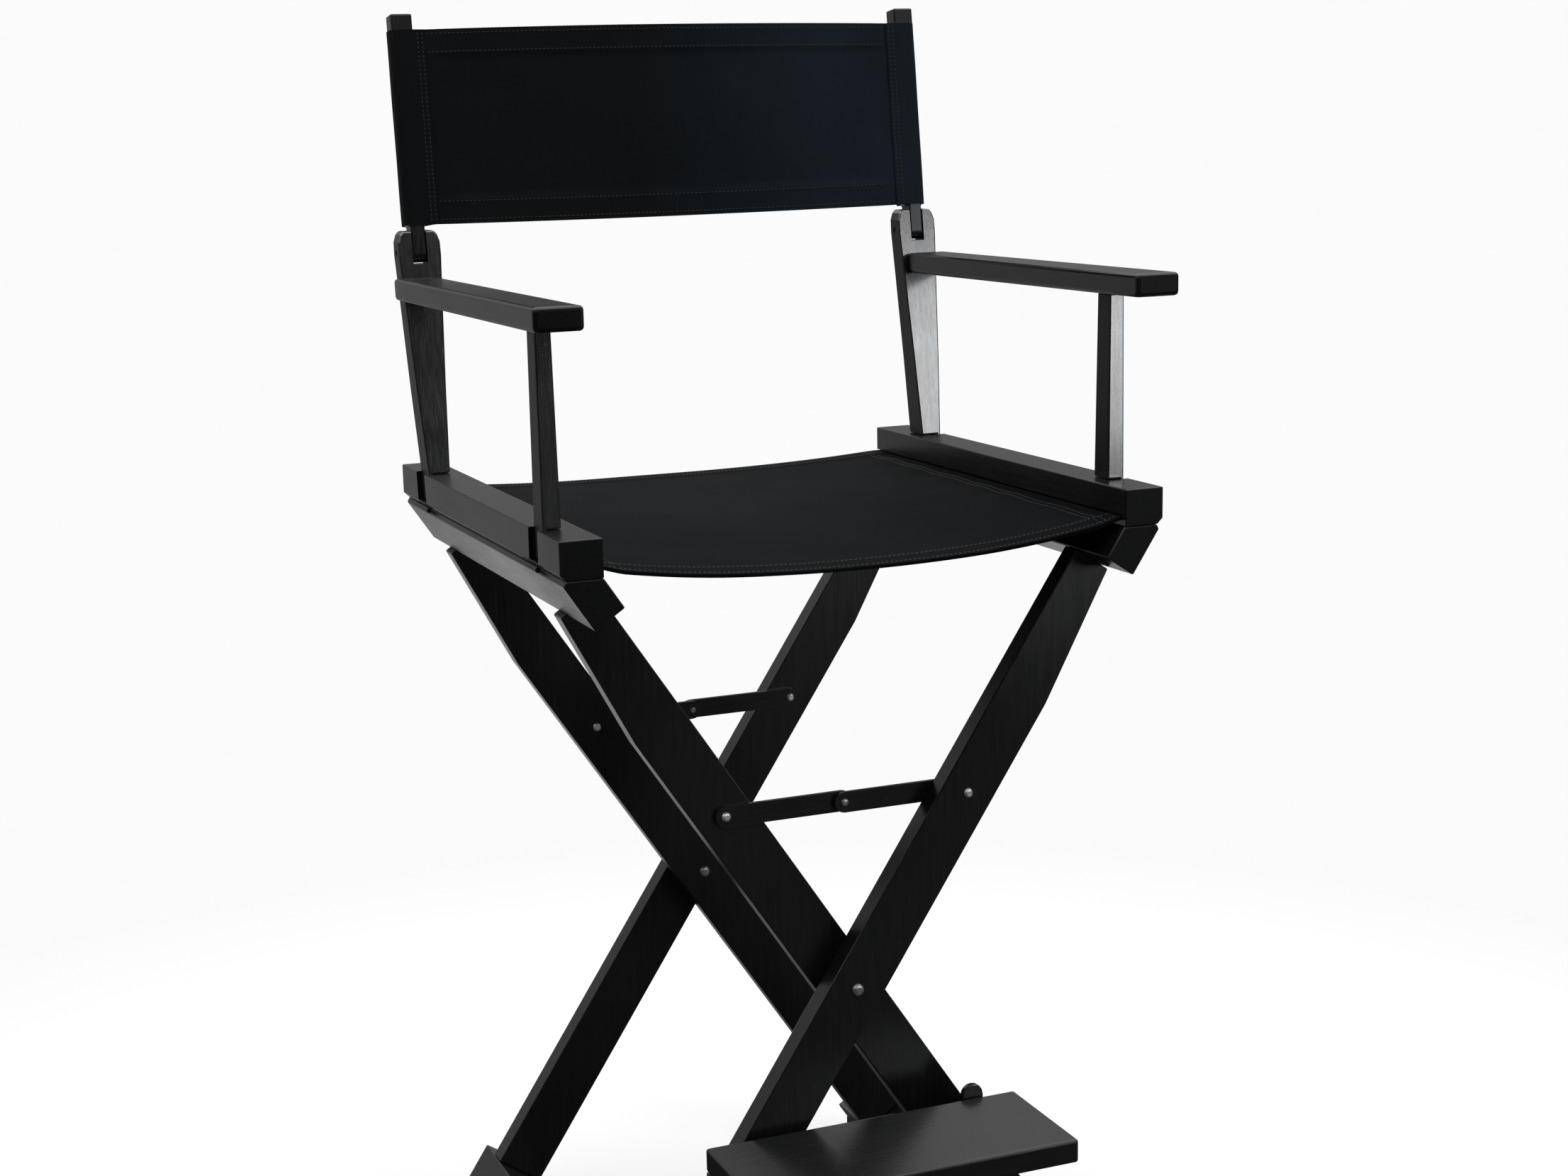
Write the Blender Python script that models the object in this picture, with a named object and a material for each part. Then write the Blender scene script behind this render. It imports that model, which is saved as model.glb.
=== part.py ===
"""Tall folding director chair with a canvas seat, a canvas back and a board footrest.

The front faces -Y and the sitter's width runs along X.  The floor is Z = 0.
Two crossed leg frames carry the seat rails and stand on two floor runners.
"""
import math

import bmesh
import bpy
from mathutils import Vector

for old in list(bpy.data.objects):
    bpy.data.objects.remove(old)

# ---- driving sizes, metres -------------------------------------------------
GAP = 0.0003
CROSS_Z = 0.355            # height of the leg crossing above the floor
TILT = math.radians(33.6)  # lean of each leg from vertical, chair open
S = math.sin(TILT)
C = math.cos(TILT)

LEG_W = 0.0490
LEG_T = 0.020
LEG_GAP = 0.009            # space between the two crossing legs
LEG_TOP_W = 0.030
FRONT_Y = 0.0              # front face of the front-most leg
REAR_Y = 0.362             # front face of the foremost rear leg

RAIL_W = 0.036
RAIL_H = 0.0315
RAIL_OUT = 0.267
RAIL_TOP = CROSS_Z + 0.420
RAIL_Y0 = -0.049
RAIL_Y1 = 0.438
CLEAT_L = 0.050

RUNNER_H = 0.033

ARM_IN = 0.2395
ARM_OUT = 0.2805
ARM_TOP = CROSS_Z + 0.599
ARM_T = 0.0195
ARM_Y0 = -0.050

POST_OUT = 0.2625          # outer face of the posts, just inside the rail's outer face
POST_IN = 0.2465
POST_Y = 0.0185
LAP_IN = RAIL_OUT - 0.0085 # posts are let into the rail's outer side down to here
LAP_LOW = 0.006            # height of the lap's end above the rail's underside

BACK_X = 0.253
BACK_Y = 0.3695            # centre of the rear post at the rail top
BACK_LEAN = math.radians(7.07)
PADDLE_TOP = CROSS_Z + 0.641
STICK_TOP = CROSS_Z + 0.835
CLOTH_TOP = CROSS_Z + 0.8205
CLOTH_LOW = CROSS_Z + 0.645
STICK = 0.020
TONGUE_R = 0.0092          # round end of the stick's tongue, about the back pivot
CLOTH_T = 0.0016

BRACE_AT = 0.193           # distance of the brace screws from the crossing
BRACE_H = 0.018
BRACE_T = 0.0038

FOOT_TOP = CROSS_Z - 0.114
FOOT_T = 0.021
FOOT_HALF = 0.146
FOOT_Y0 = -0.122
FOOT_Y1 = -0.008
APRON_H = 0.032
APRON_T = 0.018

SLOT_Z = RAIL_TOP - 0.0245
SEAT_SAG = 0.017
DOWEL_R = 0.0036
LOOP_R = 0.0046            # middle line of the cloth loop around the dowel
GROOVE_R = 0.0056
GROOVE_IN = 0.0130         # depth of the dowel's axis behind the rail's inner face

# ---- derived points ---------------------------------------------------------
RAIL_IN = RAIL_OUT - RAIL_W
RAIL_LOW = RAIL_TOP - RAIL_H
TOP_HINGE = (RAIL_OUT - 0.0005, RAIL_LOW - 0.0002)
_foot = RUNNER_H - CROSS_Z
FOOT_OUT = -(S * ((_foot - S * LEG_W / 2) / C) - C * LEG_W / 2)
FOOT_IN = FOOT_OUT - LEG_W / C
LOW_HINGE = (FOOT_OUT - 0.0005, RUNNER_H + 0.0002)
BRACE_X = BRACE_AT * S
BRACE_Z = CROSS_Z + BRACE_AT * C
BACK_PIVOT_Z = PADDLE_TOP - 0.020
BACK_PIVOT_Y = BACK_Y + (BACK_PIVOT_Z - RAIL_TOP) * math.tan(BACK_LEAN)
FOOT_BOLT_DZ = FOOT_TOP - FOOT_T - APRON_H / 2 - CROSS_Z
FOOT_BOLT_X = FOOT_BOLT_DZ * S / C
# in the frame of the leg that leans to -X, just under the footrest apron
PEG_AT = (0.010, (FOOT_BOLT_DZ - APRON_H / 2 - 0.0053 - S * 0.010) / C)
LEG_Y = {
    "b_front": FRONT_Y,
    "a_front": FRONT_Y + LEG_T + LEG_GAP,
    "a_rear": REAR_Y,
    "b_rear": REAR_Y + LEG_T + LEG_GAP,
}


# ---- materials ---------------------------------------------------------------
def material(name, colour, rough, metal=0.0):
    m = bpy.data.materials.new(name)
    m.use_nodes = True
    node = m.node_tree.nodes["Principled BSDF"]
    node.inputs["Base Color"].default_value = (*colour, 1.0)
    node.inputs["Roughness"].default_value = rough
    node.inputs["Metallic"].default_value = metal
    m.diffuse_color = (*colour, 1.0)
    return m


def wood(name):
    return material(name, (0.013, 0.013, 0.014), 0.36)


def steel(name):
    return material(name, (0.62, 0.62, 0.60), 0.32, 1.0)


def iron(name):
    return material(name, (0.20, 0.20, 0.20), 0.42, 0.9)


def cloth(name):
    return material(name, (0.017, 0.020, 0.024), 0.92)


# ---- joint axes ----------------------------------------------------------------
AXES = {
    "runner_left": (0.0, 0.0, 0.0),
    "frame_b": (-LOW_HINGE[0], 0.0, LOW_HINGE[1]),
    "frame_a": (0.0, 0.0, CROSS_Z),
    "runner_right": (LOW_HINGE[0], 0.0, LOW_HINGE[1]),
    "side_left": (-TOP_HINGE[0], 0.0, TOP_HINGE[1]),
    "side_right": (TOP_HINGE[0], 0.0, TOP_HINGE[1]),
    "brace_left": (-BRACE_X, 0.0, BRACE_Z),
    "brace_right": (BRACE_X, 0.0, BRACE_Z),
    "back_left": (-BACK_X, BACK_PIVOT_Y, BACK_PIVOT_Z),
    "back_right": (BACK_X, BACK_PIVOT_Y, BACK_PIVOT_Z),
    "footrest": (FOOT_BOLT_X, 0.0, CROSS_Z + FOOT_BOLT_DZ),
}
HOLDERS = {}
for key, spot in AXES.items():
    holder = bpy.data.objects.new("axis_" + key, None)
    holder.location = spot
    bpy.context.collection.objects.link(holder)
    HOLDERS[key] = holder


# ---- building helpers --------------------------------------------------------------
def place(name, bm, mat, body, at=(0.0, 0.0, 0.0), turn=(0.0, 0.0, 0.0), smooth=False):
    """Make a named piece from world-size geometry around the point 'at'."""
    bmesh.ops.recalc_face_normals(bm, faces=bm.faces)
    mesh = bpy.data.meshes.new(name)
    bm.to_mesh(mesh)
    bm.free()
    obj = bpy.data.objects.new(name, mesh)
    bpy.context.collection.objects.link(obj)
    obj.parent = HOLDERS[body]
    obj.location = Vector(at) - Vector(AXES[body])
    obj.rotation_euler = turn
    if mat is not None:
        mesh.materials.append(mat)
    if smooth:
        for poly in mesh.polygons:
            poly.use_smooth = True
    return obj


def prism(points, low, high, along="y", bm=None):
    """Extrude a closed outline; it lies in XZ, XY or YZ across the 'along' axis."""
    bm = bm or bmesh.new()

    def spot(u, v, w):
        if along == "y":
            return (u, w, v)
        if along == "z":
            return (u, v, w)
        return (w, u, v)

    ends = []
    for w in (low, high):
        ends.append([bm.verts.new(spot(u, v, w)) for u, v in points])
    bm.faces.new(ends[0])
    bm.faces.new(list(reversed(ends[1])))
    count = len(points)
    for i in range(count):
        j = (i + 1) % count
        bm.faces.new((ends[0][i], ends[0][j], ends[1][j], ends[1][i]))
    return bm


def block(x0, x1, y0, y1, z0, z1):
    return prism([(x0, z0), (x1, z0), (x1, z1), (x0, z1)], y0, y1)


def lathe(profile, segments=28, bm=None, centre=(0.0, 0.0)):
    """Turn (y, r) steps about the Y axis through (x, z) = centre, closed at both ends."""
    bm = bm or bmesh.new()
    rings = []
    for y, r in profile:
        ring = []
        for k in range(segments):
            a = 2 * math.pi * k / segments
            ring.append(bm.verts.new((centre[0] + r * math.cos(a), y, centre[1] + r * math.sin(a))))
        rings.append(ring)
    bm.faces.new(rings[0])
    bm.faces.new(list(reversed(rings[-1])))
    for one, two in zip(rings, rings[1:]):
        for k in range(segments):
            j = (k + 1) % segments
            bm.faces.new((one[k], one[j], two[j], two[k]))
    return bm


def ribbon(path, thick):
    """Outline of a strip of even thickness that follows an open path."""
    left = []
    right = []
    last = len(path) - 1
    for i, p in enumerate(path):
        here = Vector(p)
        before = (here - Vector(path[i - 1])).normalized() if i > 0 else None
        after = (Vector(path[i + 1]) - here).normalized() if i < last else None
        before = before or after
        after = after or before
        n1 = Vector((-before.y, before.x))
        n2 = Vector((-after.y, after.x))
        mid = (n1 + n2).normalized()
        reach = thick / 2 / max(0.35, mid.dot(n1))
        left.append(tuple(here + mid * reach))
        right.append(tuple(here - mid * reach))
    return left + list(reversed(right))


def soften(obj, width=0.0012, segments=2, angle=32.0):
    mod = obj.modifiers.new("soft_edges", "BEVEL")
    mod.width = width
    mod.segments = segments
    mod.limit_method = "ANGLE"
    mod.angle_limit = math.radians(angle)
    return obj


def round_outer(bm, width=0.0015, segments=2):
    """Round the outward edges only, so inner corners stay square against their neighbour."""
    bmesh.ops.recalc_face_normals(bm, faces=bm.faces)
    edges = [e for e in bm.edges if e.is_convex and e.calc_face_angle() > math.radians(35)]
    bmesh.ops.bevel(bm, geom=edges, offset=width, offset_type="OFFSET", segments=segments,
                    profile=0.5, affect="EDGES", clamp_overlap=True)
    return bm


def cut(obj, bm, name):
    """Subtract a cutter given in the piece's own local frame."""
    mesh = bpy.data.meshes.new(name)
    bmesh.ops.recalc_face_normals(bm, faces=bm.faces)
    bm.to_mesh(mesh)
    bm.free()
    tool = bpy.data.objects.new(name, mesh)
    bpy.context.collection.objects.link(tool)
    tool.parent = obj.parent
    tool.location = obj.location
    tool.rotation_euler = obj.rotation_euler
    tool.hide_render = True
    tool.display_type = "WIRE"
    mod = obj.modifiers.new("cut", "BOOLEAN")
    mod.operation = "DIFFERENCE"
    mod.solver = "EXACT"
    mod.object = tool
    return obj


def mirror(points, side):
    return [(side * x, z) for x, z in points]


# ---- crossed legs and their cleats ------------------------------------------------------
# In a leg's own frame the crossing is (0, 0) and +Z runs up the leg.
def to_leg(x, z):
    """World offset from the crossing to the frame of the leg that leans to +X."""
    return (C * x - S * z, S * x + C * z)


TOP_OUT = to_leg(RAIL_OUT, RAIL_LOW - CROSS_Z - GAP)
TOP_IN = to_leg(RAIL_IN, RAIL_LOW - CROSS_Z - GAP)
LEG_END = TOP_OUT[1] - CLEAT_L
LOW_OUT = to_leg(-FOOT_OUT, RUNNER_H - CROSS_Z + GAP)
LOW_IN = to_leg(-FOOT_IN, RUNNER_H - CROSS_Z + GAP)
LEG_START = LOW_OUT[1] + CLEAT_L


def leg_outline():
    half = LEG_W / 2
    return [
        (-half, LEG_START + GAP),
        (half, LEG_START + GAP),
        (half, BRACE_AT + 0.100),
        (TOP_OUT[0] + 0.005, LEG_END - GAP),
        (-half, LEG_END - GAP),
    ]


def top_cleat_outline():
    notch = 0.005
    return [
        (TOP_IN[0], LEG_END),
        (TOP_OUT[0], LEG_END),
        (TOP_OUT[0], TOP_OUT[1] - notch),
        (TOP_OUT[0] - notch * C, TOP_OUT[1] - notch * S),
        (TOP_IN[0], TOP_IN[1]),
    ]


def low_cleat_outline():
    notch = 0.005
    half = LEG_W / 2
    return [
        (-half, LOW_OUT[1] + notch),
        (-half + notch * C, LOW_OUT[1] + notch * S),
        (half, LOW_IN[1]),
        (half, LEG_START),
        (-half, LEG_START),
    ]


def leg_turn(side):
    return (0.0, side * TILT, 0.0)


CLEAT_Y0 = RAIL_Y0 + 0.001
CLEAT_Y1 = RAIL_Y1 - 0.001
for letter, side in (("a", -1), ("b", 1)):
    body = "frame_" + letter
    for end in ("front", "rear"):
        y0 = LEG_Y[letter + "_" + end]
        name = "leg_" + letter + "_" + end
        bm = prism(mirror(leg_outline(), side), 0.0, LEG_T)
        leg = place(name, bm, wood(name), body, (0.0, y0, CROSS_Z), leg_turn(side))
        soften(leg)
        drill = lathe([(-0.002, 0.0043), (LEG_T + 0.002, 0.0043)])
        lathe([(-0.002, 0.0023), (LEG_T + 0.002, 0.0023)], 20, drill, (0.0, BRACE_AT))
        if name == "leg_b_front":
            lathe([(-0.002, 0.0043), (0.015, 0.0043)], 24, drill, (0.0, FOOT_BOLT_DZ / C))
        if name == "leg_a_front":
            lathe([(-0.002, 0.0053), (0.014, 0.0053)], 24, drill, PEG_AT)
        cut(leg, drill, "drill_" + name)
    name = "cleat_top_" + letter
    bm = prism(mirror(top_cleat_outline(), side), 0.0, CLEAT_Y1 - CLEAT_Y0)
    soften(place(name, bm, wood(name), body, (0.0, CLEAT_Y0, CROSS_Z), leg_turn(side)))
    name = "cleat_low_" + letter
    bm = prism(mirror(low_cleat_outline(), side), 0.0, CLEAT_Y1 - CLEAT_Y0)
    soften(place(name, bm, wood(name), body, (0.0, CLEAT_Y0, CROSS_Z), leg_turn(side)))

# ---- crossing bolts and spacers ------------------------------------------------------------
for end, y0 in (("front", LEG_Y["b_front"]), ("rear", LEG_Y["a_rear"])):
    deep = 2 * LEG_T + LEG_GAP
    steps = [
        (-0.0040, 0.0030), (-0.0032, 0.0046), (-0.0015, 0.0055), (-0.0003, 0.0056),
        (-0.0002, 0.0040), (deep + 0.0003, 0.0040), (deep + 0.0004, 0.0062), (deep + 0.0050, 0.0062),
    ]
    name = "cross_bolt_" + end
    place(name, lathe(steps), iron(name), "frame_b", (0.0, y0, CROSS_Z), smooth=False)
    name = "cross_spacer_" + end
    washer = lathe([(LEG_T + GAP, 0.0125), (LEG_T + LEG_GAP - GAP, 0.0125)])
    washer = place(name, washer, iron(name), "frame_b", (0.0, y0, CROSS_Z))
    cut(washer, lathe([(LEG_T - 0.002, 0.0043), (LEG_T + LEG_GAP + 0.002, 0.0043)]), "drill_" + name)

# ---- folding braces -----------------------------------------------------------------------------
def capsule(length, side):
    r = BRACE_H / 2
    pts = []
    for k in range(9):
        a = math.pi / 2 + math.pi * k / 8
        pts.append((r * math.cos(a), r * math.sin(a)))
    for k in range(9):
        a = -math.pi / 2 + math.pi * k / 8
        pts.append((length + r * math.cos(a), r * math.sin(a)))
    return mirror(pts, side)


for end in ("front", "rear"):
    near = LEG_Y["b_front"] + LEG_T if end == "front" else LEG_Y["a_rear"] + LEG_T
    # the link against the nearer leg, then the link against the farther leg
    first = ("b", 1) if end == "front" else ("a", -1)
    second = ("a", -1) if end == "front" else ("b", 1)
    for order, (letter, side) in enumerate((first, second)):
        body = "brace_right" if side > 0 else "brace_left"
        frame = "frame_" + letter
        if order == 0:
            y0 = near + GAP
        else:
            y0 = near + LEG_GAP - GAP - BRACE_T
        y1 = y0 + BRACE_T
        tag = ("right" if side > 0 else "left") + "_" + end
        name = "brace_" + tag
        spot = (side * BRACE_X, 0.0, BRACE_Z)
        link = place(name, prism(capsule(BRACE_X, -side), y0, y1), iron(name), body, spot)
        link.data.materials[0] = wood(name)
        drill = lathe([(y0 - 0.002, 0.0023), (y1 + 0.002, 0.0023)], 20)
        lathe([(y0 - 0.002, 0.0028), (y1 + 0.002, 0.0028)], 20, drill, (-side * BRACE_X, 0.0))
        cut(link, drill, "drill_" + name)
        # end screw, its head on the side that faces forward
        name = "brace_screw_" + tag
        if order == 0:
            face = near - LEG_T
            tip = y1 + 0.0003
        else:
            face = y0
            tip = near + LEG_GAP + 0.012
        steps = [
            (face - 0.0030, 0.0022), (face - 0.0024, 0.0034), (face - 0.0010, 0.0042),
            (face - 0.0003, 0.0043), (face - 0.0002, 0.0020), (tip, 0.0020),
        ]
        place(name, lathe(steps, 24), steel(name), frame, spot)
        # rivet at the middle of the brace, one half on each link
        name = "brace_rivet_" + tag
        if order == 0:
            steps = [
                (y0 - 0.0022, 0.0016), (y0 - 0.0016, 0.0030), (y0 - 0.0003, 0.0036),
                (y0 - 0.0002, 0.0025), (y1, 0.0025),
            ]
        else:
            steps = [
                (y0, 0.0025), (y1 + 0.0002, 0.0025), (y1 + 0.0003, 0.0036),
                (y1 + 0.0016, 0.0030), (y1 + 0.0022, 0.0016),
            ]
        place(name, lathe(steps, 20, None, (-side * BRACE_X, 0.0)), steel(name), body, spot)

# ---- both sides: rails, arms, posts, runners, hinges, back and cloth -------------------------------
def rail_outline():
    """Rail section with a chamfer along its outer underside for the hinge barrels."""
    n = 0.005
    return [
        (RAIL_IN, RAIL_TOP), (RAIL_OUT, RAIL_TOP), (RAIL_OUT, RAIL_LOW + n),
        (RAIL_OUT - n, RAIL_LOW), (RAIL_IN, RAIL_LOW),
    ]


def groove_outline():
    """Keyhole groove for the seat dowel, open through the rail's inner face."""
    lip = 0.0023
    centre = RAIL_IN + GROOVE_IN
    open_half = math.asin(lip / GROOVE_R)
    pts = [(RAIL_IN - 0.003, SLOT_Z - lip)]
    for k in range(15):
        a = math.pi + open_half + (2 * math.pi - 2 * open_half) * k / 14
        pts.append((centre + GROOVE_R * math.cos(a), SLOT_Z + GROOVE_R * math.sin(a)))
    pts.append((RAIL_IN - 0.003, SLOT_Z + lip))
    return pts


def seat_path():
    """Cloth line from the middle of the seat out to and around the dowel."""
    half = RAIL_IN - 0.001
    pts = []
    for k in range(13):
        x = GAP / 2 + (half - GAP / 2) * k / 12
        pts.append((x, SLOT_Z - SEAT_SAG * (1 - (x / half) ** 2)))
    centre = RAIL_IN + GROOVE_IN
    r = LOOP_R
    pts.append((centre - r - 0.001, SLOT_Z))
    for k in range(1, 12):
        a = math.pi - math.radians(28) * k
        pts.append((centre + r * math.cos(a), SLOT_Z + r * math.sin(a)))
    return pts


def sleeve_path():
    """Cloth line of the back, from the middle out and around the back stick."""
    w = STICK / 2 + 0.0005 + CLOTH_T / 2
    d = 0.009 + 0.0005 + CLOTH_T / 2
    c = 0.0012
    return [
        (GAP / 2, -d), (BACK_X - w, -d), (BACK_X + w - c, -d), (BACK_X + w, -d + c),
        (BACK_X + w, d - c), (BACK_X + w - c, d), (BACK_X - w + c, d), (BACK_X - w, d - c),
        (BACK_X - w, -d + CLOTH_T + 0.0006),
    ]


def along_back(z):
    """Distance from the back pivot along the leaning stick for a given height."""
    return (z - BACK_PIVOT_Z) / math.cos(BACK_LEAN)


def lean_y(z):
    return BACK_Y + (z - RAIL_TOP) * math.tan(BACK_LEAN)


def post_depth(z):
    """Front post, front to back: it thins a little toward the arm."""
    return 0.0235 - 0.0030 * (z - RAIL_TOP) / (ARM_TOP - ARM_T - RAIL_TOP)


def post_y(z):
    return POST_Y


def paddle_depth(z):
    return 0.028 - 0.009 * (z - RAIL_TOP) / (PADDLE_TOP - RAIL_TOP)


def upright(outline, middle, depth):
    """Solid from a front outline; its middle plane and its depth change evenly with height."""
    bm = prism(outline, -0.5, 0.5)
    for v in bm.verts:
        v.co.y = middle(v.co.z) + v.co.y * depth(v.co.z)
    return bm


def housing(side, middle, depth, bm):
    """Cutter for the open housing in the rail's outer side that takes a post's lap."""
    low = RAIL_LOW + LAP_LOW - GAP
    high = RAIL_TOP + 0.003
    outline = []
    for z, sign in ((low, -1), (low, 1), (high, 1), (high, -1)):
        outline.append((middle(z) + sign * (depth(z) / 2 + GAP), z))
    x0, x1 = sorted((side * (LAP_IN - GAP), side * (RAIL_OUT + 0.003)))
    return prism(outline, x0, x1, "x", bm)


for word, side in (("left", -1), ("right", 1)):
    rail_body = "side_" + word
    name = "seat_rail_" + word
    rail = place(name, prism(mirror(rail_outline(), side), RAIL_Y0, RAIL_Y1), wood(name), rail_body)
    soften(rail, 0.0010, 2, 50.0)
    cutter = prism(mirror(groove_outline(), side), RAIL_Y0 + 0.006, RAIL_Y1 + 0.010)
    housing(side, post_y, post_depth, cutter)
    housing(side, lean_y, paddle_depth, cutter)
    cut(rail, cutter, "cut_" + name)

    # arm board: square-ended front, rear end cut to the lean of the rear post
    front = lean_y(ARM_TOP - ARM_T / 2) - 0.0115
    slope = math.tan(BACK_LEAN) * ARM_T / 2
    outline = [
        (ARM_Y0, ARM_TOP - ARM_T), (front - slope, ARM_TOP - ARM_T),
        (front + slope, ARM_TOP), (ARM_Y0, ARM_TOP),
    ]
    name = "arm_" + word
    x0, x1 = sorted((side * ARM_IN, side * ARM_OUT))
    soften(place(name, prism(outline, x0, x1, "x"), wood(name), rail_body), 0.0035, 3, 60.0)

    # front post, let into the rail's outer side and slightly wider at the foot
    post_top = ARM_TOP - ARM_T - GAP
    outline = [
        (LAP_IN, RAIL_LOW + LAP_LOW), (POST_OUT, RAIL_LOW + LAP_LOW), (POST_OUT, post_top),
        (POST_IN + 0.002, post_top), (POST_IN, RAIL_TOP + GAP), (LAP_IN, RAIL_TOP + GAP),
    ]
    name = "front_post_" + word
    bm = round_outer(upright(mirror(outline, side), post_y, post_depth))
    place(name, bm, wood(name), rail_body)

    # rear post: a flat paddle that narrows downward, let into the rail and forked at its top
    height = PADDLE_TOP - RAIL_TOP
    outer = [(LAP_IN, RAIL_LOW + LAP_LOW), (POST_OUT, RAIL_LOW + LAP_LOW), (POST_OUT, RAIL_TOP)]
    inner = [(LAP_IN, RAIL_TOP + GAP), (0.242, RAIL_TOP + GAP)]
    for t, w in ((0.35, 0.028), (0.70, 0.0355), (0.90, 0.040), (0.955, 0.0395), (0.985, 0.035),
                 (1.0, 0.029)):
        outer.append((BACK_X + w / 2, RAIL_TOP + height * t))
        inner.append((BACK_X - w / 2, RAIL_TOP + height * t))
    name = "rear_post_" + word
    pivot = (side * BACK_X, BACK_PIVOT_Y, BACK_PIVOT_Z)
    bm = round_outer(upright(mirror(outer + inner[::-1], side), lean_y, paddle_depth))
    bmesh.ops.translate(bm, vec=-Vector(pivot), verts=bm.verts)
    paddle = place(name, bm, wood(name), rail_body, pivot)
    slot = block(-0.0070, 0.0070, -0.030, 0.030, -TONGUE_R - 0.0009, 0.060)
    cut(paddle, slot, "slot_" + name)
    hole = prism([(0.0028 * math.cos(k * math.pi / 10), 0.0028 * math.sin(k * math.pi / 10))
                  for k in range(20)], -0.03, 0.03, "x")
    cut(paddle, hole, "drill_" + name)

    # upper back stick with a narrower tongue inside the fork
    top = along_back(STICK_TOP)
    outline = [
        (-0.0067, -0.0105), (0.0067, -0.0105), (0.0067, 0.0235), (STICK / 2, 0.0260),
        (STICK / 2, top), (-STICK / 2, top), (-STICK / 2, 0.0260), (-0.0067, 0.0235),
    ]
    name = "back_stick_" + word
    turn = (-BACK_LEAN, 0.0, 0.0)
    stick = place(name, prism(outline, -0.009, 0.009), wood(name), "back_" + word, pivot, turn)
    soften(stick, 0.0015)
    hole = prism([(0.0028 * math.cos(k * math.pi / 10), 0.0028 * math.sin(k * math.pi / 10))
                  for k in range(20)], -0.02, 0.02, "x")
    cut(stick, hole, "drill_" + name)
    # the tongue's end is rounded about the pivot so that it turns above the fork's floor
    start = math.radians(10)
    arc = []
    for k in range(17):
        a = -math.pi + start + (math.pi - 2 * start) * k / 16
        arc.append((TONGUE_R * math.cos(a), TONGUE_R * math.sin(a)))
    edge = -TONGUE_R * math.sin(start)
    shape = arc + [(0.014, edge), (0.014, -0.014), (-0.014, -0.014), (-0.014, edge)]
    cut(stick, prism(shape, -0.02, 0.02, "x"), "round_" + name)
    name = "back_pin_" + word
    pin = prism([(0.0025 * math.cos(k * math.pi / 10), 0.0025 * math.sin(k * math.pi / 10))
                 for k in range(20)], -0.0190, 0.0190, "x")
    place(name, pin, iron(name), rail_body, pivot)

    # back cloth, one half with its sleeve
    name = "back_cloth_" + word
    bm = prism(mirror(ribbon(sleeve_path(), CLOTH_T), side), along_back(CLOTH_LOW),
               along_back(CLOTH_TOP), "z")
    bmesh.ops.translate(bm, vec=(-side * BACK_X, 0.0, 0.0), verts=bm.verts)
    place(name, bm, cloth(name), "back_" + word, pivot, turn)

    # seat cloth, one half with its loop around the dowel
    name = "seat_cloth_" + word
    bm = prism(mirror(ribbon(seat_path(), CLOTH_T), side), RAIL_Y0 + 0.007, RAIL_Y1 - 0.003)
    place(name, bm, cloth(name), rail_body)
    name = "seat_dowel_" + word
    spot = (side * (RAIL_IN + GROOVE_IN), 0.0, SLOT_Z)
    rod = lathe([(RAIL_Y0 + 0.0075, DOWEL_R), (RAIL_Y1 - 0.004, DOWEL_R)], 20)
    place(name, rod, wood(name), rail_body, spot)

    # floor runner with a notch along its outer top edge for the hinge
    n = 0.005
    outline = [
        (FOOT_IN, 0.0), (FOOT_OUT, 0.0), (FOOT_OUT, RUNNER_H - n),
        (FOOT_OUT - n, RUNNER_H), (FOOT_IN, RUNNER_H),
    ]
    name = "runner_" + word
    runner_body = "runner_" + word
    soften(place(name, prism(mirror(outline, side), RAIL_Y0, RAIL_Y1), wood(name), runner_body))

    # hinge barrels in the outer notches, top and bottom
    for level, (hx, hz), holder in (("top", TOP_HINGE, rail_body), ("low", LOW_HINGE, runner_body)):
        for end, y in (("front", 0.010), ("rear", 0.345)):
            name = "hinge_" + level + "_" + word + "_" + end
            barrel = lathe([(y, 0.0022), (y + 0.045, 0.0022)], 20)
            place(name, barrel, iron(name), holder, (side * hx, 0.0, hz))

# ---- footrest ---------------------------------------------------------------------------------------
spot = (FOOT_BOLT_X, 0.0, CROSS_Z + FOOT_BOLT_DZ)
low = APRON_H / 2
board = block(-FOOT_HALF - FOOT_BOLT_X, FOOT_HALF - FOOT_BOLT_X, FOOT_Y0, FOOT_Y1, low + GAP,
              low + FOOT_T)
soften(place("footrest_board", board, wood("footrest_board"), "footrest", spot), 0.0025, 3)
apron = block(-FOOT_HALF - FOOT_BOLT_X, FOOT_HALF - FOOT_BOLT_X, FOOT_Y1 - APRON_T, FOOT_Y1, -low, low)
apron = place("footrest_apron", apron, wood("footrest_apron"), "footrest", spot)
soften(apron, 0.0015)
cut(apron, lathe([(FOOT_Y1 - APRON_T - 0.002, 0.0043), (FOOT_Y1 + 0.002, 0.0043)]), "drill_apron")
ear_x = 0.106 - FOOT_BOLT_X
ear = [(ear_x - 0.010, low + 0.004), (ear_x + 0.010, low + 0.004)]
for k in range(9):
    a = math.pi * k / 8
    ear.append((ear_x + 0.010 * math.cos(a), low + FOOT_T + 0.002 + 0.010 * math.sin(a)))
ear = place("footrest_ear", prism(ear, FOOT_Y1 + GAP, FOOT_Y1 + 0.0060), wood("footrest_ear"),
            "footrest", spot)
soften(ear, 0.0010)
front = FOOT_Y1 - APRON_T
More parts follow.
